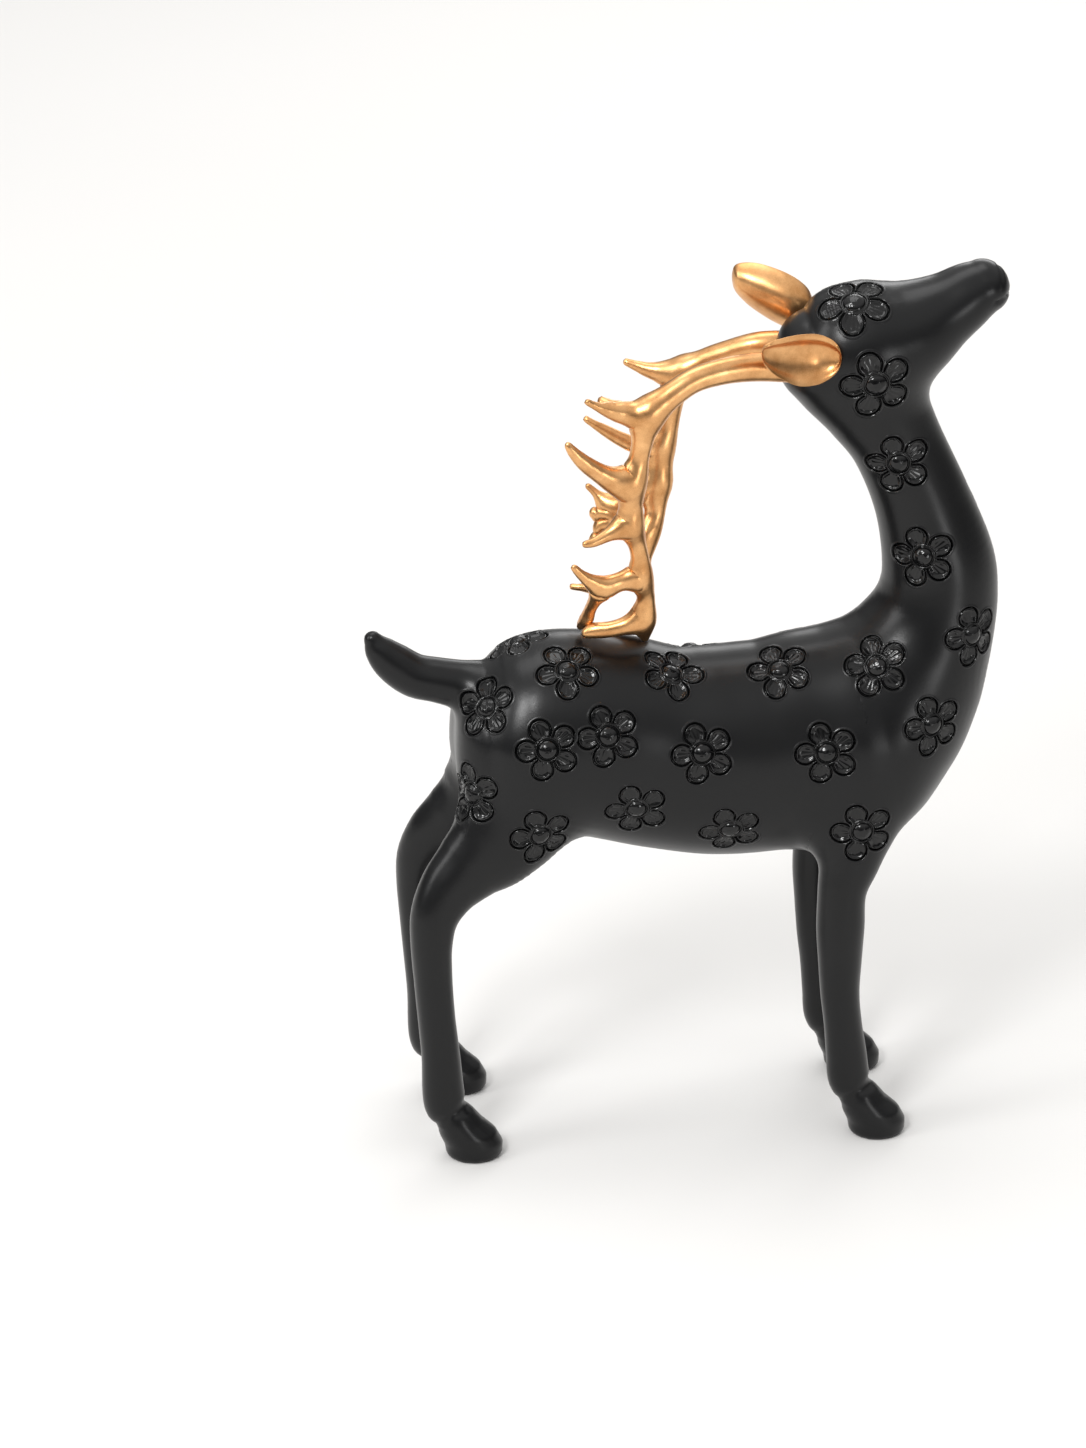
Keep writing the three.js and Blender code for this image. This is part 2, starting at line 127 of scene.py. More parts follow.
RIGHT_BEAM = (
    (60, -11, 399, 7), (52.7, -13, 401, 7.2), (32.7, -17, 404.2, 7.1), (16.2, -21.5, 404.8, 6.6),
    (1.3, -25, 402.5, 6.2), (-8.5, -27, 397.6, 6.3), (-17.2, -28, 390.8, 6.9),
    (-23.2, -28.5, 381.2, 6.3), (-25.6, -28, 369.9, 5.1), (-27.2, -27.5, 359.6, 4.9),
    (-28.9, -26.5, 348.1, 5), (-29.5, -25.5, 338.5, 5.3), (-28.4, -24, 327.6, 4.9),
    (-25.8, -22, 316.3, 4.5), (-24.1, -20.5, 308.4, 4.5), (-22.1, -18, 297.9, 4.5),
    (-20.6, -15, 286.1, 4.4), (-20.6, -12, 275.4, 4.6), (-20.4, -9.5, 267, 3.5),
    (-20.1, -8.5, 262.9, 2.2),
)
RIGHT_TINES = (
    ((-20.5, -28, 388.9, 6.2), (-29.2, -29, 387.4, 5.2), (-37.6, -31, 389.1, 3.6),
     (-44.6, -33, 392.2, 2.5), (-49.5, -34, 395, 1.8), (-52.5, -35, 397.1, 0.9)),
    ((-34.9, -28, 389.6, 2.4), (-40, -27, 391.7, 1.8), (-43.2, -26, 393.3, 1.2),
     (-44.8, -25.5, 394.2, 0.8)),
    ((-27.2, -26.5, 350.1, 6.7), (-37.1, -28.5, 353.4, 6.8), (-45.6, -31, 359.1, 5),
     (-53.1, -33, 365.3, 4.1), (-58.8, -34.5, 371.7, 3), (-61.7, -35, 376.1, 1.3)),
    ((-28.2, -24.5, 330.9, 5.3), (-35.7, -26.5, 328.7, 4.6), (-42.8, -29, 325.9, 3.3),
     (-48.8, -31, 323.8, 2.5), (-53.3, -32, 323.5, 1.4)),
    ((-22.8, -18.5, 299.2, 4.8), (-33.3, -21, 299.2, 4.7), (-41.4, -23, 298.3, 4.6),
     (-48.4, -25, 301.1, 3.9), (-54, -26.5, 305.8, 2.7), (-57.7, -27.5, 310.3, 1.3)),
    ((-43.2, -22.5, 296.7, 4.6), (-46.1, -17, 287.7, 3.5), (-48.1, -10, 279.2, 3),
     (-49.9, -3.5, 271.6, 2.7), (-50.9, 0, 267.2, 2.2)),
    ((-20.8, -12.5, 277.8, 4.4), (-26.2, -13, 273.8, 4.6), (-33.1, -13, 271.6, 4.3),
     (-40.8, -12.5, 270, 3.9), (-46.6, -12, 268.9, 2.9), (-50.2, -11.5, 268.2, 1.6)),
)
LEFT_BEAM = (
    (62, 11, 404, 7), (54.6, 13, 403.5, 7.2), (37.7, 14, 403.6, 7), (24.2, 18, 399, 6.8),
    (11.4, 22, 393, 6.7), (2.6, 25, 385.1, 6.6), (-1.8, 27, 375.8, 6.1), (-3.9, 28, 366.2, 5.9),
    (-5.7, 28, 353.8, 5.8), (-7.5, 28, 341.4, 5.7), (-8.4, 27.5, 330.2, 5.4), (-9.8, 26, 319.3, 4.9),
    (-11.7, 24, 308.7, 4.6), (-15.1, 22, 299.1, 4.4), (-17.6, 20, 291.6, 4.2),
    (-17.4, 17, 283.3, 4), (-16.8, 14, 273.9, 3.8), (-17, 10.5, 265.8, 3.8), (-17.3, 8, 260, 2.9),
)
LEFT_TINES = (
    ((5.5, 25, 389.6, 5.8), (-3.4, 27, 387.7, 5.3), (-12.5, 28.5, 387.8, 4.3),
     (-19.6, 30, 389.9, 2.9), (-25.3, 31, 392.1, 1.2)),
    ((-6.3, 28, 348.7, 4.6), (-14.1, 28.5, 348.9, 4.2), (-20.9, 29, 349.8, 4.3),
     (-27.7, 30, 352.8, 3.7), (-34.4, 31, 356.7, 3.1), (-40.7, 32, 360.5, 2.2),
     (-44.2, 33, 362.8, 1.1)),
    ((-7.2, 28, 333.1, 4.9), (-13.1, 28, 329.2, 4.6), (-19.8, 28.5, 324.1, 4.6),
     (-27.6, 29.5, 319.6, 4.6), (-34.9, 30, 321.1, 3.5), (-39.7, 31, 325.1, 2.2),
     (-43.3, 32, 328.3, 1.1)),
    ((-26.6, 29.5, 317.2, 3.4), (-33.9, 30, 314.7, 2.9), (-38.2, 31, 313.5, 1.9),
     (-41.1, 31.5, 314.2, 0.9)),
    ((-25.6, 29.5, 314.5, 3.4), (-32.4, 29.5, 311.2, 2.7), (-36.4, 29, 307.9, 1.6),
     (-37.9, 29, 305.9, 1)),
    ((-14.6, 22.5, 304.2, 3.9), (-22.3, 24, 306.6, 3.4), (-28.9, 26, 305.6, 2.9),
     (-35.6, 27.5, 302.9, 2.2), (-41.3, 29, 300, 1.2)),
    ((-17.5, 18.5, 285.9, 3.9), (-26, 21, 282.6, 3.4), (-35.1, 23, 279.9, 3.2),
     (-42.8, 25, 277.9, 2.5), (-48.1, 26, 277.2, 2), (-51.7, 27, 277.5, 1.3)),
    ((-36.7, 22.5, 277.8, 3.2), (-41.1, 17, 273.4, 2.4), (-44.6, 12.5, 270.1, 2.2),
     (-46.9, 10, 267.6, 2)),
    ((-17.4, 11, 266.2, 3.4), (-24.8, 11, 263.4, 3.2), (-33.7, 11, 261.7, 2.7),
     (-40.7, 10.5, 261.2, 2.3), (-44.7, 10, 261.1, 1.5)),
)

ANTLER_FLAT = 0.85          # thickness as a share of the width seen from the side

# root to tip: x, z, half height, stand-off from the middle plane
EAR_LINE = (
    (69.6, 411.5, 2.6, 29.8), (67.2, 411.6, 7.2, 30), (63, 411.8, 10.6, 30.6),
    (57, 412.2, 12.8, 32), (48.5, 413.2, 12.9, 34.7), (40.5, 415.1, 10.5, 36.9),
    (34, 417.2, 7.4, 38.6), (29.6, 419, 3.4, 39.6),
)
LEFT_EAR_LINE = (
    (67, 414, 2.6, 29.6), (64, 415.2, 9.6, 30), (59.6, 417, 12.6, 30.7),
    (53.4, 419.6, 13.8, 32), (47, 422.2, 13.6, 34), (40.9, 424.8, 12.6, 36),
    (35, 427.2, 10.6, 37.6), (30, 429.3, 7.4, 39), (27.6, 430.3, 3.6, 39.6),
)

# mouth and nose line on the muzzle: start x z, end x z, depth, half width
MUZZLE_LINES = (
    ((146.4, 429.9), (157.5, 433), 0.9, 0.9),
    ((149.9, 446), (150.1, 435.5), 0.5, 0.9),
)

FLOWERS = (
    (78, -13, 434, 1.12), (87, -27, 397, 1.12), (100, -22, 353), (112, -25, 305), (139, -26, 264),
    (118, -37, 222), (91, -28, 251), (45, -18, 246), (65, -41, 212), (83, -44, 170),
    (19, -36, 171), (-8, -18, 249), (4, -41, 215), (-28, -40, 186), (-42, -42, 227),
    (-72, -43, 222), (-75, -40, 175), (-60, -24, 256), (-82, 6, 262), (-100, -23, 238),
    (-106, -29, 195),
    (88, 27, 400), (101, 22, 352), (138, 15, 321), (138, 27, 262), (104, 34, 240),
    (59, 25, 246), (80, 44, 184), (6, 21, 248), (24, 40, 186), (-28, 41, 205), (-73, 43, 202),
)


@dataclass(frozen=True)
class Wire:
    """A socket of a material that takes part in sums."""

    tree: Shader
    socket: bpy.types.NodeSocket

    def _sum(self, operation: str, first: "Wire | float", second: "Wire | float") -> "Wire":
        """Adds one Math node on two values and returns its result."""
        node = self.tree.nodes.new("ShaderNodeMath")
        node.operation = operation
        for slot, value in zip(node.inputs, (first, second)):
            if isinstance(value, Wire):
                self.tree.links.new(value.socket, slot)
            else:
                slot.default_value = value
        return Wire(self.tree, node.outputs[0])

    def __add__(self, other: "Wire | float") -> "Wire":
        """Sum."""
        return self._sum("ADD", self, other)

    def __mul__(self, other: "Wire | float") -> "Wire":
        """Product."""
        return self._sum("MULTIPLY", self, other)


class Bench:
    """The node tree of one material and the one way its nodes are added."""

    def __init__(self, name: str) -> None:
        """Starts an empty material with that name."""
        self.material = bpy.data.materials.new(name)
        self.material.use_nodes = True
        self.tree = self.material.node_tree
        self.tree.nodes.clear()

    def node(self, kind: str, settings: dict | None = None, inputs: dict | None = None,
             output: int | str = 0) -> Wire:
        """Adds a node.

        Args:
            kind: node type without its ShaderNode prefix.
            settings: attributes set before the sockets; stops is a ramp's list.
            inputs: socket name or number to a value or a Wire.
            output: the socket that is returned.
        Returns:
            The chosen output.
        """
        node = self.tree.nodes.new("ShaderNode" + kind)
        for name, value in (settings or {}).items():
            if name == "stops":
                ramp = node.color_ramp
                while len(ramp.elements) < len(value):
                    ramp.elements.new(0.5)
                for element, (place, colour) in zip(ramp.elements, value):
                    element.position = place
                    element.color = (*colour, 1.0)
            else:
                setattr(node, name, value)
        for name, value in (inputs or {}).items():
            if isinstance(value, Wire):
                self.tree.links.new(value.socket, node.inputs[name])
            else:
                node.inputs[name].default_value = value
        outputs = node.outputs
        return Wire(self.tree, outputs[output]) if len(outputs) else Wire(self.tree, None)

    def place(self) -> Wire:
        """Object coordinates."""
        return self.node("TexCoord", output="Object")

    def noise(self, scale: float, detail: float = 3.0, roughness: float = 0.5) -> Wire:
        """Noise value at a scale in features per metre."""
        return self.node("TexNoise", {}, {"Vector": self.place(), "Scale": scale,
                                          "Detail": detail, "Roughness": roughness})

    def between(self, low: tuple[float, ...], high: tuple[float, ...], mask: Wire) -> Wire:
        """Colour between two, by a mask."""
        return self.node("Mix", {"data_type": "RGBA"},
                         {0: mask, 6: (*low, 1.0), 7: (*high, 1.0)}, output=2)

    def bump(self, height: Wire, strength: float, distance: float) -> Wire:
        """Normal from a height."""
        return self.node("Bump", {}, {"Height": height, "Strength": strength,
                                      "Distance": distance})

    def finish(self, sockets: dict) -> bpy.types.Material:
        """Ends in a Principled shader with those sockets and returns the material."""
        shader = self.node("BsdfPrincipled", {}, sockets)
        self.node("OutputMaterial", {}, {"Surface": shader})
        return self.material


@dataclass(frozen=True)
class BlackPaint:
    """Black paint on the casting, mottled from dark to light."""

    name: str
    dark: Triple
    light: Triple
    roughness: float
    spread: float               # how far the roughness wanders
    shine: float                # specular level
    grain: float                # height of the skin texture in metres
    mottling: float = 28.0      # features per metre
    pitting: float = 900.0      # features of the skin texture per metre
    relief: float = 0.35        # strength of the skin texture

    def material(self) -> bpy.types.Material:
        """Builds the paint."""
        bench = Bench(self.name)
        broad = bench.noise(self.mottling, 4.0)
        fine = bench.noise(self.pitting, 2.0)
        wander = broad * self.spread + fine * (self.spread * 0.5)
        rough = wander + (self.roughness - self.spread * 0.75)
        return bench.finish({
            "Base Color": bench.between(self.dark, self.light, broad),
            "Roughness": rough,
            "Specular IOR Level": self.shine,
            "Normal": bench.bump(fine, self.relief, self.grain),
        })


@dataclass(frozen=True)
class BronzePaint:
    """Bronze-gold metallic paint with a fine mottled grain."""

    name: str = "bronze_gold_paint"
    deep: Triple = (0.48, 0.215, 0.072)
    warm: Triple = (0.92, 0.53, 0.24)
    cloud: float = 90.0         # features of the mottling per metre
    flake: float = 2600.0
    brush: float = 420.0
    mask: Pair = (0.3, 0.72)     # ends of the blend from deep to warm
    roughness: float = 0.2      # the least of it
    spread: float = 0.12        # added by the flakes and by the brushing
    relief: float = 0.3         # strength of the grain
    grain: float = 0.00012      # height of the grain in metres

    def material(self) -> bpy.types.Material:
        """Builds the paint."""
        bench = Bench(self.name)
        patches = bench.noise(self.cloud, 5.0, 0.6)
        flakes = bench.noise(self.flake, 2.0)
        streak = bench.noise(self.brush, 3.0)
        low, high = self.mask
        mask = bench.node("ValToRGB", {"stops": [(low, (0, 0, 0)), (high, (1, 1, 1))]},
                          {"Fac": patches * 0.7 + flakes * 0.3})
        return bench.finish({
            "Base Color": bench.between(self.deep, self.warm, mask),
            "Metallic": 1.0,
            "Roughness": flakes * self.spread + streak * self.spread + self.roughness,
            "Normal": bench.bump(flakes * 0.5 + streak, self.relief, self.grain),
        })


SATIN = BlackPaint("satin_black_paint", (0.0028, 0.0029, 0.0032), (0.0052, 0.0054, 0.006),
                   0.3, 0.07, 0.3, 0.00004)
GLOSS = BlackPaint("gloss_black_paint", (0.0016, 0.0017, 0.0019), (0.0028, 0.0029, 0.0032),
                   0.15, 0.03, 0.4, 0.00002)


def smooth_least(first: Array, second: Array, blend: float) -> Array:
    """Lesser of two distances, rounded where they are close.

    Args:
        first: distances to one form.
        second: distances to the other.
        blend: how far apart the two may be and still flow together, in mm.
    Returns:
        Distances to the joined form.
    """
    share = np.maximum(blend - np.abs(first - second), 0.0) / blend
    return np.minimum(first, second) - share * share * blend / 4


def groove(points: Array, start: Station, end: Station, depth: float,
           width: float) -> Array:
    """How far the skin is pressed in along a line seen from the side.

    Args:
        points: places in mm.
        start: x, z of one end.
        end: x, z of the other.
        depth: depth on the line.
        width: half width of the groove.
    Returns:
        Depth at each place.
    """
    a, b = np.array(start, float), np.array(end, float)
    flat = points[:, [0, 2]] - a
    run = b - a
    share = np.clip(flat @ run / (run @ run), 0, 1)
    gap = np.linalg.norm(flat - share[:, None] * run, axis=1)
    return depth * np.exp(-(gap / width) ** 2)


def spline(rows: Array, t: Array) -> Array:
    """Catmull-Rom values of rows, which stand at even steps, at shares t of the run."""
    last = len(rows) - 1
    place = np.clip(t, 0, 1) * last
    i = np.minimum(place.astype(int), last - 1)
    u = (place - i)[:, None]
    padded = np.vstack([2 * rows[0] - rows[1], rows, 2 * rows[-1] - rows[-2]])
    a, b, c, d = (padded[i + k] for k in range(4))
    v0, v1 = (c - a) / 2, (d - b) / 2
    return ((2 * b - 2 * c + v0 + v1) * u ** 3 + (-3 * b + 3 * c - 2 * v0 - v1) * u ** 2
            + v0 * u + b)


@dataclass(frozen=True)
class Limb:
    """An oval tube through stations, rounded at both ends."""

    stations: tuple[Station, ...]
    ends: float = 0.75          # reach of the rounded ends, as a share of the half size there
    count: int = 90             # slices that the distance is measured to
    cap: float = 0.1            # share of the meshed sphere that each rounded end takes
    step: float = 1e-4          # share of the run over which the direction is taken

    def mirrored(self) -> "Limb":
        """The same limb on the other side of the middle plane."""
        return Limb(tuple((s[0], -s[1], *s[2:]) for s in self.stations), self.ends, self.count)

    def slices(self, t: Array) -> tuple[Array, ...]:
        """Centre, side, up, along and half sizes of the limb at shares t of its run."""
        rows = np.array([(*s[:4], s[4] if len(s) > 4 else s[3]) for s in self.stations], float)
        centre = spline(rows[:, :3], t)
        sizes = spline(rows[:, 3:], t)
        low, high = np.clip(t - self.step, 0, 1), np.clip(t + self.step, 0, 1)
        along = spline(rows[:, :3], high) - spline(rows[:, :3], low)
        along /= np.linalg.norm(along, axis=1, keepdims=True)
        side = ACROSS - along * along[:, 1:2]
        side /= np.linalg.norm(side, axis=1, keepdims=True)
        return centre, side, np.cross(along, side), along, sizes

    def distance(self, points: Array) -> Array:
        """Rough signed distance from points to the limb's skin, in mm."""
        t = np.linspace(0, 1, self.count)
        centre, side, up, along, sizes = self.slices(t)
        result = np.empty(len(points))
        for start in range(0, len(points), BLOCK):
            part = points[start:start + BLOCK]
            gaps = (centre ** 2).sum(1)[None] - 2 * part @ centre.T
            near = gaps.argmin(1)
            offset = ((part - centre[near]) * along[near]).sum(1)
            other = np.clip(near + np.where(offset > 0, 1, -1), 0, self.count - 1)
            gap = np.linalg.norm(centre[other] - centre[near], axis=1)
            u = np.where(gap > 0, np.clip(np.abs(offset) / np.maximum(gap, TINY), 0, 1), 0)
            u = u[:, None]
            at, s, w, size = (q[near] * (1 - u) + q[other] * u for q in (centre, side, up, sizes))
            beyond = np.where(gap > 0, 0.0, offset)
            reach = size.mean(1) * self.ends
            local = np.stack([((part - at) * s).sum(1), ((part - at) * w).sum(1), beyond], 1)
            radii = np.stack([size[:, 0], size[:, 1], reach], 1)
            k1 = np.linalg.norm(local / radii, axis=1)
            k2 = np.linalg.norm(local / radii ** 2, axis=1)
            result[start:start + BLOCK] = np.where(
                k2 > TINY, k1 * (k1 - 1) / np.maximum(k2, TINY), -size.min(1))
        return result

    def mesh(self, name: str, sides: int, rings: int) -> Piece:
        """A sphere drawn out along the limb, in metres."""
        piece, share, turn = add_sphere(name, sides, rings)
        cap = self.cap
        t = np.clip((share - cap) / (1 - 2 * cap), 0, 1)
        swell = np.where(share < cap, share / cap - 1, np.where(
            share > 1 - cap, (share - 1 + cap) / cap, 0)) * math.pi / 2
        centre, side, up, along, sizes = self.slices(t)
        reach = sizes.mean(1) * self.ends * np.sin(swell)
        shrink = np.cos(swell)
        places = (centre + along * reach[:, None]
                  + side * (sizes[:, 0] * shrink * np.cos(turn))[:, None]
                  + up * (sizes[:, 1] * shrink * np.sin(turn))[:, None])
        write_points(piece, places * MM)
        return piece


@dataclass(frozen=True)
class Hoof:
    """A hoof with a flat sole under a leg whose foot stands at x, y in mm."""

    x: float
    y: float
    levels: tuple[Station, ...] = HOOF
    crown: float = 5.0          # rounding over the highest level
    cap: float = 0.16           # share of the meshed sphere that sole and top each take

    def _level(self, z: Array) -> tuple[Array, ...]:
        """Centre x, half length and half width at heights z."""
        rows = np.array(self.levels, float)
        ahead, length, width = (np.interp(z, rows[:, 0], rows[:, k]) for k in (1, 2, 3))
        return self.x + ahead, length, width

    def distance(self, points: Array) -> Array:
        """Rough signed distance from points to the hoof's skin, in mm."""
        top = self.levels[-1][0]
        centre, length, width = self._level(np.clip(points[:, 2], 0, top))
        above = np.maximum(points[:, 2] - top, 0) / self.crown
        local = np.stack([(points[:, 0] - centre) / length, (points[:, 1] - self.y) / width,
                          above], 1)
        k1 = np.linalg.norm(local, axis=1)
        return np.maximum((k1 - 1) * np.minimum(length, width), -points[:, 2])

    def mesh(self, name: str) -> Piece:
        """A closed drum shaped level by level, in metres."""
        piece, share, turn = add_sphere(name, 48, 40)
        rise = (1 - self.cap - share) / (1 - 2 * self.cap)
        height = np.clip(rise, 0, 1) * self.levels[-1][0]
        centre, length, width = self._level(height)
        inward = np.clip(np.minimum(share, 1 - share) / self.cap, 0, 1)
        write_points(piece, np.stack([centre + length * inward * np.cos(turn),
                                      self.y + width * inward * np.sin(turn), height], 1) * MM)
        return piece


def add_primitive(kind: str, name: str, **sizes: float) -> Piece:
    """Adds a primitive with nothing else selected.

    Args:
        kind: the primitive's operator name without primitive_ and _add.
        name: object name.
        **sizes: the operator's own sizes.
    Returns:
        The new object, active.
    """
    bpy.ops.object.select_all(action="DESELECT")
    getattr(bpy.ops.mesh, f"primitive_{kind}_add")(**sizes)
    piece = bpy.context.active_object
    piece.name = piece.data.name = name
    return piece


def add_object(name: str, data: bpy.types.ID) -> Piece:
    """Puts new data into the scene as an object."""
    piece = bpy.data.objects.new(name, data)
    bpy.context.scene.collection.objects.link(piece)
    return piece


def add_sphere(name: str, sides: int, rings: int) -> tuple[Piece, Array, Array]:
    """Adds a sphere to be reshaped.

    Args:
        name: object name.
        sides: faces round its axis.
        rings: faces from pole to pole.
    Returns:
        The piece, and each point's share of the way from pole to pole and its turn.
    """
    piece = add_primitive("uv_sphere", name, segments=sides, ring_count=rings, radius=1.0)
    x, y, z = read_points(piece).T
    return piece, np.arccos(np.clip(z, -1, 1)) / math.pi, np.arctan2(y, x)


def pick(*pieces: Piece) -> None:
    """Selects the pieces alone, the first of them active."""
    bpy.ops.object.select_all(action="DESELECT")
    for piece in pieces:
        piece.select_set(True)
    bpy.context.view_layer.objects.active = pieces[0]


def read_points(piece: Piece, what: str = "co") -> Array:
    """Place of every vertex of a piece, or what else is asked for, such as its normal."""
    values = np.empty(len(piece.data.vertices) * 3)
    piece.data.vertices.foreach_get(what, values)
    return values.reshape(-1, 3)


def write_points(piece: Piece, places: Array) -> None:
    """Moves the vertices of a piece."""
    piece.data.vertices.foreach_set("co", np.ascontiguousarray(places, float).ravel())
    piece.data.update()


def apply_modifier(piece: Piece, kind: str, **settings: object) -> None:
    """Adds a modifier with its settings and applies it."""
    pick(piece)
    modifier = piece.modifiers.new(kind.title(), kind)
    for name, value in settings.items():
        setattr(modifier, name, value)
    bpy.ops.object.modifier_apply(modifier=modifier.name)


def join(pieces: Sequence[Piece], name: str) -> Piece:
    """Joins pieces into one object with that name."""
    pick(*pieces)
    bpy.ops.object.join()
    whole = bpy.context.active_object
    whole.name = whole.data.name = name
    return whole


def face_outward(piece: Piece) -> None:
    """Welds points that meet and turns all faces outwards."""
    pick(piece)
    bpy.ops.object.mode_set(mode="EDIT")
    bpy.ops.mesh.select_all(action="SELECT")
    bpy.ops.mesh.remove_doubles(threshold=TINY)
    bpy.ops.mesh.normals_make_consistent(inside=False)
    bpy.ops.object.mode_set(mode="OBJECT")


def settle(piece: Piece, field: Callable[[Array], Array],
           rounds: int) -> None:
    """Draws a mesh along its normals onto a skin.

    Args:
        piece: the mesh.
        field: distance to the skin, in mm.
        rounds: how often every vertex is moved.
    """
    for _ in range(rounds):
        places = read_points(piece) / MM
        gap = np.clip(field(places), -LONGEST_STEP, LONGEST_STEP)
        normals = read_points(piece, "normal")
        write_points(piece, (places - normals * gap[:, None] * STEP_SHARE) * MM)


def dress(piece: Piece, node: str,
          materials: Sequence[bpy.types.Material]) -> None:
    """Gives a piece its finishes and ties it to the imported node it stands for.

    Args:
        piece: the finished piece.
        node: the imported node.
        materials: finishes in slot order.
    """
    piece.data.materials.clear()
    for material in materials:
        piece.data.materials.append(material)
    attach(piece, "root")
    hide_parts(node)
    LOG.info("%s: %d faces", piece.name, len(piece.data.polygons))


@dataclass(frozen=True)
class FlowerRelief:
    """Relief of one five-petal flower, in mm from the skin."""

    petals: int = 5
    base_at: float = 4.6        # root of a petal from the centre
    base_radius: float = 2.0
    lobe_at: float = 9.7        # middle of a petal's round end
    lobe_radius: float = 4.8
    groove: float = 0.75        # gap between a petal and the pocket's wall
    depth: float = 2.1
    rim_drop: float = 0.1       # a petal's rim below the skin
    rim: float = 0.85           # how far the rim stands over the petal
    dish: float = 0.9           # hollow of a petal
    wall_ease: float = 0.5      # way over which the pocket's wall drops
    petal_ease: float = 0.45    # way over which a petal rises from the pocket
    rim_place: Pair = (0.6, 0.36)    # inside the petal's edge, half width
    dish_place: Pair = (0.65, 2.0)   # start inside the edge, way down
    lip: Triple = (0.16, 0.28, 0.26)    # rise, place, half width
    vein: float = 0.34
    vein_turns: float = 13.0
    vein_from: float = 2.2      # point that the veins fan out from
    vein_power: float = 0.7
    vein_edge: Pair = (0.9, 0.6)     # start inside the edge, way up
    vein_end: Pair = (11.6, 1.6)     # start of the fading, way out
    dome_radius: float = 4.7
    dome_rise: float = 1.3
    dome_foot: float = 0.25
    ring_at: float = 5.45
    ring_drop: float = 0.55     # top of the ring below the skin
    ring_width: float = 0.36
    moat: Pair = (6.5, 0.5)          # flat ground under the ring, its ease
    band: float = 1.0           # skin taken along round the pocket
    overlap: float = 0.12       # how much narrower the pocket is than its tile
    search: Pair = (6.0, 22.0)       # least and greatest radius of an outline
    halvings: int = 30

    def across_petal(self, r: Array, angle: Array) -> tuple[Array, Array]:
        """Places along and beside the nearest petal's middle line, at polar places."""
        fold = 2 * math.pi / self.petals
        folded = (angle + fold / 2) % fold - fold / 2
        return r * np.cos(folded), r * np.sin(folded)

    def petal_distance(self, r: Array, angle: Array) -> Array:
        """Signed distance to the nearest petal's edge at polar places."""
        u, v = self.across_petal(r, angle)
        v = np.abs(v)
        length = self.lobe_at - self.base_at
        slope = (self.lobe_radius - self.base_radius) / length
        cosine = math.sqrt(1 - slope * slope)
        along = u - self.base_at
        flat = along * cosine + v * slope
        low = np.hypot(along, v) - self.base_radius
        high = np.hypot(u - self.lobe_at, v) - self.lobe_radius
        flank = v * cosine - along * slope - self.base_radius
        return np.where(flat < 0, low, np.where(flat > length * cosine, high, flank))

    def reach(self, angle: Array, gap: float) -> Array:
        """Radius at which the petal distance equals gap, for each angle."""
        low, high = (np.full(angle.shape, radius) for radius in self.search)
        for _ in range(self.halvings):
            middle = (low + high) / 2
            inside = self.petal_distance(middle, angle) < gap
            low, high = np.where(inside, middle, low), np.where(inside, high, middle)
        return (low + high) / 2

    def petal_height(self, r: Array, angle: Array, inside: Array) -> Array:
        """Height of rim, dish and veins at polar places that lie inside a petal's edge."""
        u, v = self.across_petal(r, angle)
        rise = smooth_step(inside / self.petal_ease)
        rim = bulge(inside, *self.rim_place)
        dish = ramp(inside, *self.dish_place)
        fan = np.arctan2(v, u - self.vein_from)
        ridge = np.abs(np.cos(fan * self.vein_turns)) ** self.vein_power
        veins = ridge * ramp(inside, *self.vein_edge) * (1 - ramp(u, *self.vein_end))
        plain = (self.depth - self.rim_drop - self.rim) * rise
        return plain + self.rim * rim * rise - self.dish * dish + self.vein * veins

    def height(self, r: Array, angle: Array) -> Array:
        """Relief height at polar places."""
        edge = self.petal_distance(r, angle)
        wall = edge - self.groove
        pocket = -self.depth * smooth_step(-wall / self.wall_ease)
        lip, lip_at, lip_width = self.lip
        level = pocket + np.where(edge < 0, self.petal_height(r, angle, -edge), 0.0)
        moat_end, moat_ease = self.moat
        near = smooth_step((moat_end - r) / moat_ease)
        level = level * (1 - near) + (-self.depth) * near
        level = level + (self.depth - self.ring_drop) * bulge(r, self.ring_at, self.ring_width)
        share = np.clip(1 - (r / self.dome_radius) ** 2, 0, 1)
        full = self.depth + self.dome_rise - self.dome_foot
        dome = -self.depth + self.dome_foot + full * np.sqrt(share)
        level = np.where(r < self.dome_radius, np.maximum(level, dome), level)
        return level + lip * bulge(wall, lip_at, lip_width)


def smooth_step(value: Array) -> Array:
    """Eased ramp from 0 at 0 to 1 at 1."""
    t = np.clip(value, 0, 1)
    return t * t * (3 - 2 * t)


def ramp(value: Array, start: float, way: float) -> Array:
    """Eased ramp from 0 at start to 1 a way further on."""
    return smooth_step((value - start) / way)


def bulge(value: Array, centre: float, width: float) -> Array:
    """Bell curve of height 1."""
    return np.exp(-((value - centre) / width) ** 2)


@dataclass(frozen=True)
class Seat:
    """Seat of a flower: centre on the skin, normal, way of its first petal and its width."""

    centre: Array
    normal: Array
    petal: Array
    wider: float

    @property
    def cross(self) -> Array:
        """Direction in the skin square to the first petal."""
        return np.cross(self.normal, self.petal)


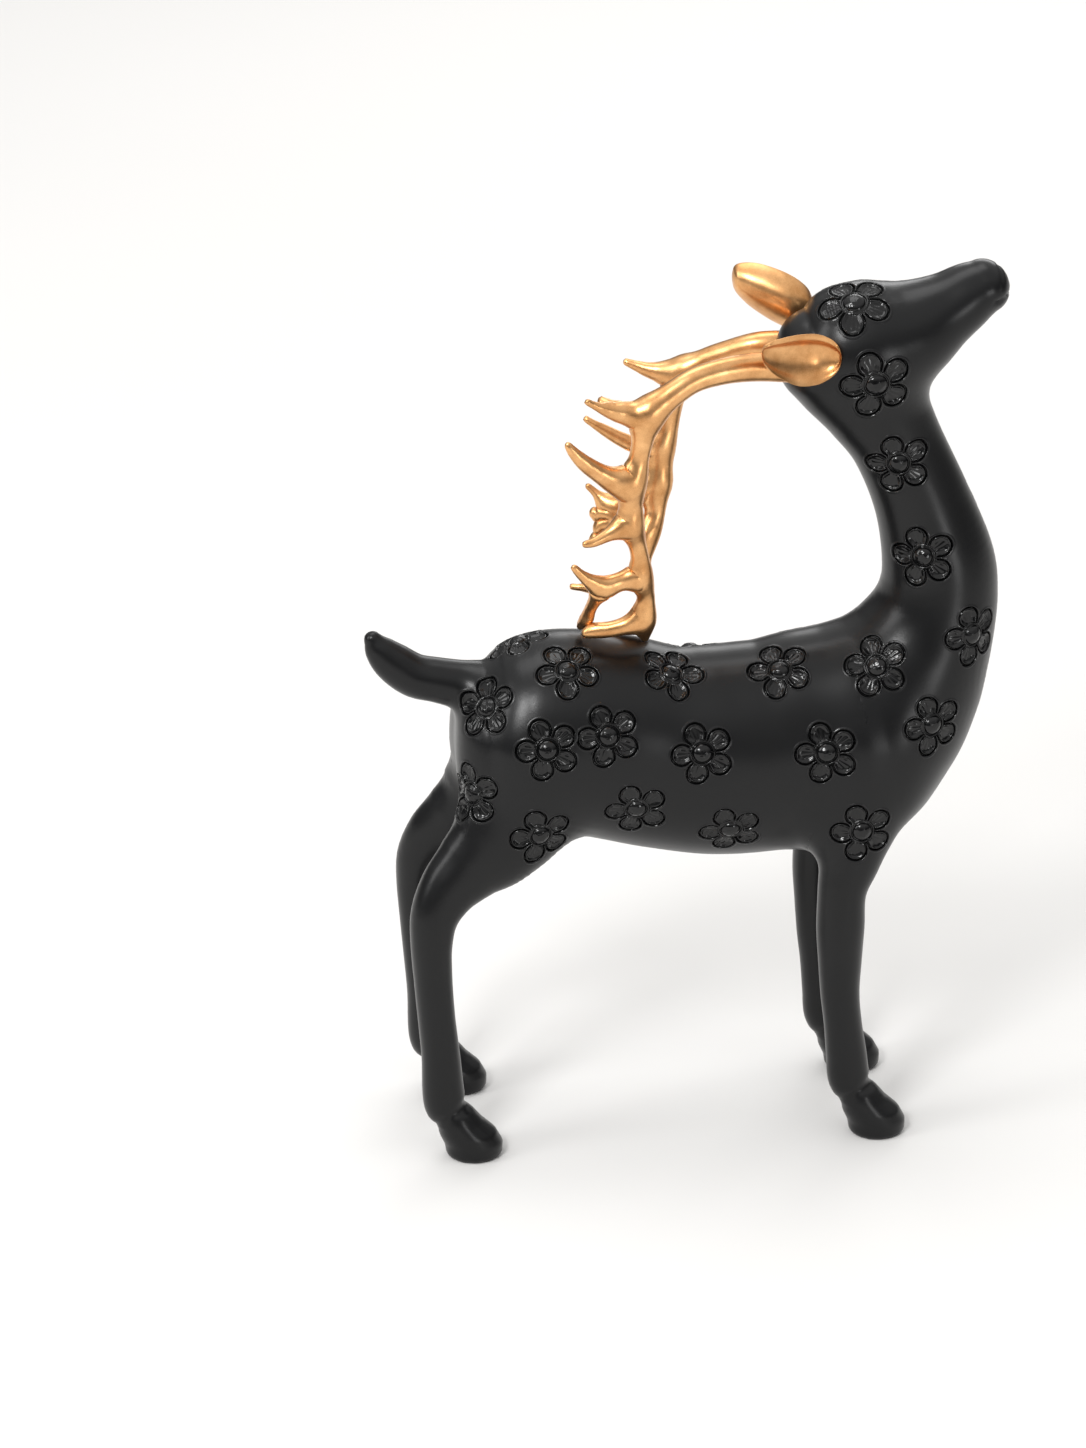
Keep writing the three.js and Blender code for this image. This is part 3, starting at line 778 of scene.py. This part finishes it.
@dataclass
class Casting:
    """The black casting: its skin, and the flowers sunk in it."""

    relief: FlowerRelief = FlowerRelief()
    voxel: float = 1.62
    swell: float = 1.05         # width of a flower as a share of its relief's own
    crease: float = 1.0         # depth of the line where a leg meets its hoof
    crease_width: float = 1.5
    clearance: float = 0.05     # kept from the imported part's box
    spokes: int = 160
    hub: float = 6.2            # radius of a tile's evenly spaced rings
    hub_rings: int = 17
    petal_rings: int = 33       # from the hub to the tile's edge
    satin_rings: int = 4        # rings at the edge, counted with the skirt, in the casting's paint
    proud: float = 0.03         # tile's edge over the skin
    tuck: float = 0.35          # how far the skirt goes in under the tile
    skirt: float = 2.8          # depth of the skirt
    foot: float = 3.2           # depth of the tile's middle below
    cutter: Pair = (3.0, -4.0)       # top and bottom of a cutter

    def __post_init__(self) -> None:
        """Lays out the limbs and how softly each flows into those before it."""
        fore, hind = Limb(FORELEG), Limb(HINDLEG)
        self.limbs: list[tuple[Limb | Hoof, float]] = [
            (Limb(TRUNK, 0.42), 1.0), (Limb(NECK), 18.0), (Limb(WITHERS, 0.7), 16.0),
            (Limb(HEAD, 0.88), 13.0), (Limb(TAIL, 0.9), 8.0),
            (hind, 12.0), (hind.mirrored(), 12.0), (fore, 12.0), (fore.mirrored(), 12.0),
        ]
        for x, y in FEET:
            self.limbs += [(Hoof(x, y), 1.2), (Hoof(x, -y), 1.2)]
        low, high = (np.array(corner) / MM for corner in CAD_BOX)
        self.reach = (low + np.array([1.0, 1.0, 0.0]) * self.clearance, high - self.clearance)

    def distance(self, points: Array) -> Array:
        """Distance from points to the casting's plain skin, in mm."""
        whole = None
        for form, blend in self.limbs:
            gap = form.distance(points)
            if whole is None:
                whole = gap
                continue
            seam = np.exp(-((whole - gap) / self.crease_width) ** 2)
            whole = smooth_least(whole, gap, blend)
            if isinstance(form, Hoof):
                whole = whole + self.crease * seam
        for line in MUZZLE_LINES:
            whole = whole + groove(points, *line)
        low, high = self.reach
        return np.maximum(whole, np.maximum(points - high, low - points).max(1))

    def angles(self) -> Array:
        """Angle of every spoke of a flower."""
        return np.linspace(0, 2 * math.pi, self.spokes, endpoint=False)

    def slope(self, points: Array, step: float = 3.0) -> Array:
        """Outward direction of the skin near points."""
        steps = np.eye(3) * step
        rise = np.stack([self.distance(points + s) - self.distance(points - s) for s in steps], 1)
        return rise / np.linalg.norm(rise, axis=1, keepdims=True)

    def drop(self, points: Array, normals: Array, rounds: int = 8) -> Array:
        """Moves points along their normals onto the skin."""
        for _ in range(rounds):
            points = points - normals * np.clip(self.distance(points), -5, 5)[:, None]
        return points

    def seats(self) -> list[Seat]:
        """Seats of all flowers."""
        places = np.array([flower[:3] for flower in FLOWERS], float)
        wider = [self.swell * (flower[3] if len(flower) > 3 else 1.0) for flower in FLOWERS]
        normals = self.slope(places)
        places = self.drop(places, normals)
        normals = self.slope(places, 5.0)
        petals = PETAL_GUIDE - normals * (normals @ PETAL_GUIDE)[:, None]
        petals /= np.linalg.norm(petals, axis=1, keepdims=True)
        return [Seat(*row) for row in zip(places, normals, petals, wider)]

    def on_skin(self, seats: Sequence[Seat], r: Array, angle: Array) -> Array:
        """Skin points at polar places round each seat.

        Args:
            seats: the flowers.
            r: radii.
            angle: angles, same length as r.
        Returns:
            Array of seats by places by 3.
        """
        flat = np.stack([
            s.centre + s.wider * (np.outer(r * np.cos(angle), s.petal)
                                  + np.outer(r * np.sin(angle), s.cross)) for s in seats])
        normals = np.repeat(np.stack([s.normal for s in seats]), len(r), axis=0)
        return self.drop(flat.reshape(-1, 3), normals).reshape(flat.shape)

    def skin(self) -> Piece:
        """The plain casting, all limbs flowing into one."""
        pieces = []
        for number, (form, _) in enumerate(self.limbs):
            if isinstance(form, Hoof):
                pieces.append(form.mesh(f"hoof_{number}"))
            else:
                pieces.append(form.mesh(f"limb_{number}", 64, 120))
        body = join(pieces, "casting")
        apply_modifier(body, "REMESH", mode="VOXEL", voxel_size=self.voxel * MM)
        settle(body, self.distance, 5)
        apply_modifier(body, "SMOOTH", factor=0.5, iterations=3)
        settle(body, self.distance, 1)
        places = read_points(body)
        places[:, 2] = np.maximum(places[:, 2], 0.0)
        write_points(body, places)
        return body

    def cut_pockets(self, body: Piece, seats: Sequence[Seat]) -> None:
        """Cuts the flower pockets out of the skin with cutters that follow it."""
        angle, relief = self.angles(), self.relief
        edge = relief.reach(angle, relief.groove + relief.band - relief.overlap)
        rims = self.on_skin(seats, edge, angle)
        top, bottom = self.cutter
        cutters = []
        for number, (seat, rim) in enumerate(zip(seats, rims)):
            cutter = add_primitive("cylinder", f"cutter_{number}", vertices=self.spokes,
                                   radius=1, depth=2, end_fill_type="TRIFAN")
            places = read_points(cutter)
            turn = np.arctan2(places[:, 1], places[:, 0]) % (2 * math.pi)
            at = np.rint(turn / (2 * math.pi) * self.spokes).astype(int) % self.spokes
            middle = np.hypot(places[:, 0], places[:, 1]) < 0.5
            height = np.where(places[:, 2] > 0, top, bottom)
            spots = np.where(middle[:, None], seat.centre, rim[at])
            write_points(cutter, (spots + seat.normal * height[:, None]) * MM)
            face_outward(cutter)
            cutters.append(cutter)
        tool = join(cutters, "pocket_cutters")
        apply_modifier(body, "BOOLEAN", operation="DIFFERENCE", object=tool, solver="MANIFOLD")
        bpy.data.objects.remove(tool)

    def tile_spots(self) -> tuple[Array, Array]:
        """Radii and angles of a tile's points, ring after ring outwards."""
        angle = self.angles()
        edge = self.relief.reach(angle, self.relief.groove + self.relief.band)
        radii = [np.full(self.spokes, r) for r in np.linspace(0, self.hub, self.hub_rings + 1)[1:]]
        shares = np.linspace(0, 1, self.petal_rings + 1)[1:]
        radii += [self.hub + (edge - self.hub) * share for share in shares]
        return np.concatenate(radii), np.tile(angle, len(radii))

    def tile_faces(self, start: int) -> tuple[list[tuple[int, ...]], list[int]]:
        """Faces of one tile.

        Args:
            start: number of the tile's first vertex.
        Returns:
            The faces, and the ring that each of them belongs to.
        """
        count, rings = self.spokes, self.hub_rings + self.petal_rings
        crown = start + (rings + 1) * count
        foot = crown + 1
        faces, kinds = [], []
        for ring in range(rings):
            a = start + ring * count
            for j in range(count):
                k = (j + 1) % count
                faces.append((a + j, a + count + j, a + count + k, a + k))
                kinds.append(ring)
        last = start + rings * count
        for j in range(count):
            k = (j + 1) % count
            faces.append((crown, start + j, start + k))
            faces.append((foot, last + k, last + j))
            kinds += [0, rings]
        return faces, kinds

    def tiles(self, seats: Sequence[Seat], name: str) -> tuple[Piece, list[int]]:
        """Flower tiles that fill the pockets, joined into one piece.

        Args:
            seats: the flowers.
            name: object name.
        Returns:
            The piece, and for each face 0 for the flower and 1 for the skin round it.
        """
        r, turn = self.tile_spots()
        height = self.relief.height(r, turn)
        height[-self.spokes:] = self.proud
        top = self.relief.height(np.zeros(1), np.zeros(1))[0]
        vertices, faces, kinds = [], [], []
        for seat, ground in zip(seats, self.on_skin(seats, r, turn)):
            start = sum(len(v) for v in vertices)
            rim = ground[-self.spokes:]
            inward = seat.centre - rim
            inward /= np.linalg.norm(inward, axis=1, keepdims=True)
            vertices += [
                ground + np.outer(height, seat.normal),
                rim + inward * self.tuck - seat.normal * self.skirt,
                (seat.centre + seat.normal * top)[None],
                (seat.centre - seat.normal * self.foot)[None],
            ]
            more_faces, more_kinds = self.tile_faces(start)
            faces += more_faces
            kinds += more_kinds
        mesh = bpy.data.meshes.new(name)
        mesh.from_pydata((np.concatenate(vertices) * MM).tolist(), [], faces)
        satin_from = self.hub_rings + self.petal_rings - self.satin_rings
        return add_object(name, mesh), [int(kind >= satin_from) for kind in kinds]

    def build(self) -> None:
        """Builds, dresses and reports the casting."""
        body = self.skin()
        seats = self.seats()
        self.cut_pockets(body, seats)
        pick(body)
        bpy.ops.object.shade_smooth_by_angle(angle=math.radians(SMOOTH_ANGLE))
        satin, gloss = SATIN.material(), GLOSS.material()
        dress(body, "body", [satin])
        groups = {"fore_flowers": seats[:11], "hind_flowers": seats[11:21],
                  "left_flowers": seats[21:]}
        for name, group in groups.items():
            tiles, finishes = self.tiles(group, name)
            pick(tiles)
            bpy.ops.object.shade_smooth()
            dress(tiles, "body", [gloss, satin])
            tiles.data.polygons.foreach_set("material_index", finishes)


@dataclass
class Antler:
    """One antler: a beam and its tines, webbed where they part."""

    side: Side
    beam: tuple[Station, ...]
    tines: tuple[tuple[Station, ...], ...]
    finish: bpy.types.Material
    voxel: float = 0.75
    web: float = 10.0
    root: float = 0.4           # start of a tine as a share of the way to its second station
    blunt: float = 2.0          # least half size of a tine
    beam_slices: int = 80
    tine_slices: int = 26

    def distance(self, points: Array) -> Array:
        """Distance from points to the antler's skin, in mm."""
        whole = self._branch(self.beam, self.beam_slices).distance(points)
        for tine in self.tines:
            whole = smooth_least(whole, self._tine(tine).distance(points), self.web)
        return whole

    @staticmethod
    def _branch(line: Sequence[Station], count: int) -> Limb:
        """A limb of the antler, flattened across."""
        return Limb(tuple((x, y, z, half * ANTLER_FLAT, half) for x, y, z, half in line),
                    count=count)

    def _tine(self, line: Sequence[Station]) -> Limb:
        """A tine, started off the beam's middle and blunt at its tip."""
        rows = [(*row[:3], max(row[3], self.blunt)) for row in line]
        start = tuple(a + (b - a) * self.root for a, b in zip(rows[0], rows[1]))
        return self._branch([start, *rows[1:]], self.tine_slices)

    def build(self) -> None:
        """Builds and dresses the antler."""
        name = f"{self.side.name.lower()}_antler"
        pieces = [self._branch(self.beam, self.beam_slices).mesh("beam", 24, 120)]
        pieces += [self._tine(tine).mesh(f"tine_{number}", 18, 40)
                   for number, tine in enumerate(self.tines)]
        antler = join(pieces, name + "_cast")
        apply_modifier(antler, "REMESH", mode="VOXEL", voxel_size=self.voxel * MM)
        settle(antler, self.distance, 4)
        apply_modifier(antler, "SMOOTH", factor=0.5, iterations=20)
        pick(antler)
        bpy.ops.object.shade_smooth()
        dress(antler, name, [self.finish])


@dataclass
class Ear:
    """A leaf-shaped ear, hollowed on its outer face."""

    side: Side
    line: tuple[Station, ...]
    finish: bpy.types.Material
    scoop: float = 7.4          # depth of the hollow where the ear is at its full height
    full: float = 13.0          # half height there
    scoop_power: float = 2.4
    thickness: float = 3.2
    thinning: float = 7.0       # half height under which the ear gets thinner
    tip: float = 0.06           # share of the length that each rounded end takes
    upper_roll: Triple = (1.8, 0.74, 0.17)      # rise, place, half width
    lower_roll: Triple = (0.7, -0.84, 0.13)

    def build(self) -> None:
        """Builds and dresses the ear."""
        way = self.side.value
        rows = np.array(self.line, float)
        name = f"{self.side.name.lower()}_ear"
        ear, share, turn = add_sphere(name + "_cast", 96, 120)
        x, z, half, off = spline(rows, share).T
        end = np.clip(np.minimum(share, 1 - share) / self.tip, 0, 1)
        half = half * np.sqrt(1 - (1 - end) ** 2)
        across = np.cos(turn)
        outer = np.maximum(np.sin(turn), 0)
        body = np.minimum(1, half / self.thinning)
        depth = self.scoop * (half / self.full) * (1 - np.abs(across) ** self.scoop_power)
        roll = sum(rise * bulge(across, place, width)
                   for rise, place, width in (self.upper_roll, self.lower_roll))
        bulk = self.thickness * body * np.sin(turn) * 0.5 + roll * body * outer ** 0.5
        write_points(ear, np.stack([x, way * (off - depth + bulk), z + half * across], 1) * MM)
        face_outward(ear)
        bpy.ops.object.shade_smooth()
        dress(ear, name, [self.finish])


@dataclass(frozen=True)
class Lamp:
    """A soft rectangular light aimed at the statue, in metres and watts."""

    name: str
    place: Triple
    size: Pair
    power: float
    aim: Triple = (0, 0, 0.22)

    def build(self) -> None:
        """Adds the light."""
        data = bpy.data.lights.new(self.name, "AREA")
        data.shape = "RECTANGLE"
        data.size, data.size_y = self.size
        data.energy = self.power
        lamp = add_object(self.name, data)
        lamp.location = self.place
        away = Vector(self.place) - Vector(self.aim)
        lamp.rotation_euler = away.to_track_quat("Z", "Y").to_euler()


LAMPS = (
    Lamp("front_left", (-1.1, -1.6, 1.9), (0.6, 0.6), 32),
    Lamp("left", (-2.3, -0.6, 1.5), (0.7, 1.4), 17),
    Lamp("front_right", (1.2, -2.15, 0.28), (0.4, 0.5), 6),
    Lamp("overhead", (-0.2, 0.5, 2.6), (1.8, 1.2), 18),
    Lamp("behind", (0.8, 2.2, 1.2), (1.4, 0.8), 11),
)


@dataclass(frozen=True)
class Studio:
    """The pale floor, the soft lights and the camera."""

    target: Triple = (-0.06905, 0.0, 0.21654)
    azimuth: float = -7.0
    elevation: float = 24.0
    distance: float = 2.6
    pixels_per_mm: float = 2.04
    picture_height: float = 1448.0
    sensor: float = 36.0
    floor_size: float = 24.0
    floor_dark: Triple = (0.728, 0.72, 0.709)
    floor_pale: Triple = (0.748, 0.74, 0.729)
    wall: Triple = (0.08, 0.08, 0.082)
    ceiling: Triple = (1.0, 0.995, 0.985)
    wall_to_ceiling: Pair = (0.1, 0.65)      # heights of the room's blend
    brightness: float = 0.95

    def camera(self) -> None:
        """Sets the camera at the photograph's viewing angle."""
        data = bpy.data.cameras.new("photo_camera")
        camera = add_object("photo_camera", data)
        a, e = math.radians(self.azimuth), math.radians(self.elevation)
        back = Vector((math.sin(a) * math.cos(e), -math.cos(a) * math.cos(e), math.sin(e)))
        camera.location = Vector(self.target) + back * self.distance
        camera.rotation_euler = back.to_track_quat("Z", "Y").to_euler()
        data.sensor_fit = "VERTICAL"
        data.sensor_height = self.sensor
        data.lens = self.pixels_per_mm * self.distance / MM / self.picture_height * self.sensor
        data.clip_end = 100
        bpy.context.scene.camera = camera

    def floor(self) -> None:
        """Lays the pale floor."""
        floor = add_primitive("plane", "studio_floor", size=self.floor_size)
        bench = Bench("pale_floor")
        floor.data.materials.append(bench.finish({
            "Base Color": bench.between(self.floor_dark, self.floor_pale, bench.noise(2.0)),
            "Roughness": 0.9,
            "Specular IOR Level": 0.1,
        }))

    def room(self) -> None:
        """Lights the room from above, with darker walls."""
        world = bpy.data.worlds.new("studio")
        world.use_nodes = True
        nodes, links = world.node_tree.nodes, world.node_tree.links
        place = nodes.new("ShaderNodeTexCoord")
        parts = nodes.new("ShaderNodeSeparateXYZ")
        blend = nodes.new("ShaderNodeValToRGB")
        ends = zip(blend.color_ramp.elements, self.wall_to_ceiling, (self.wall, self.ceiling))
        for element, height, colour in ends:
            element.position = height
            element.color = (*colour, 1)
        links.new(place.outputs["Generated"], parts.inputs[0])
        links.new(parts.outputs["Z"], blend.inputs[0])
        links.new(blend.outputs[0], nodes["Background"].inputs[0])
        nodes["Background"].inputs[1].default_value = self.brightness
        bpy.context.scene.world = world

    def build(self) -> None:
        """Sets the camera, floor, room and lights."""
        self.camera()
        bpy.context.scene.view_settings.view_transform = "Standard"
        self.floor()
        self.room()
        for lamp in LAMPS:
            lamp.build()


def main() -> None:
    """Builds the studio and the statue."""
    logging.basicConfig(level=logging.INFO, format="%(name)s: %(message)s")
    Studio().build()
    Casting().build()
    bronze = BronzePaint().material()
    Antler(Side.RIGHT, RIGHT_BEAM, RIGHT_TINES, bronze).build()
    Antler(Side.LEFT, LEFT_BEAM, LEFT_TINES, bronze).build()
    Ear(Side.RIGHT, EAR_LINE, bronze).build()
    Ear(Side.LEFT, LEFT_EAR_LINE, bronze).build()


if __name__ == "__main__":
    main()
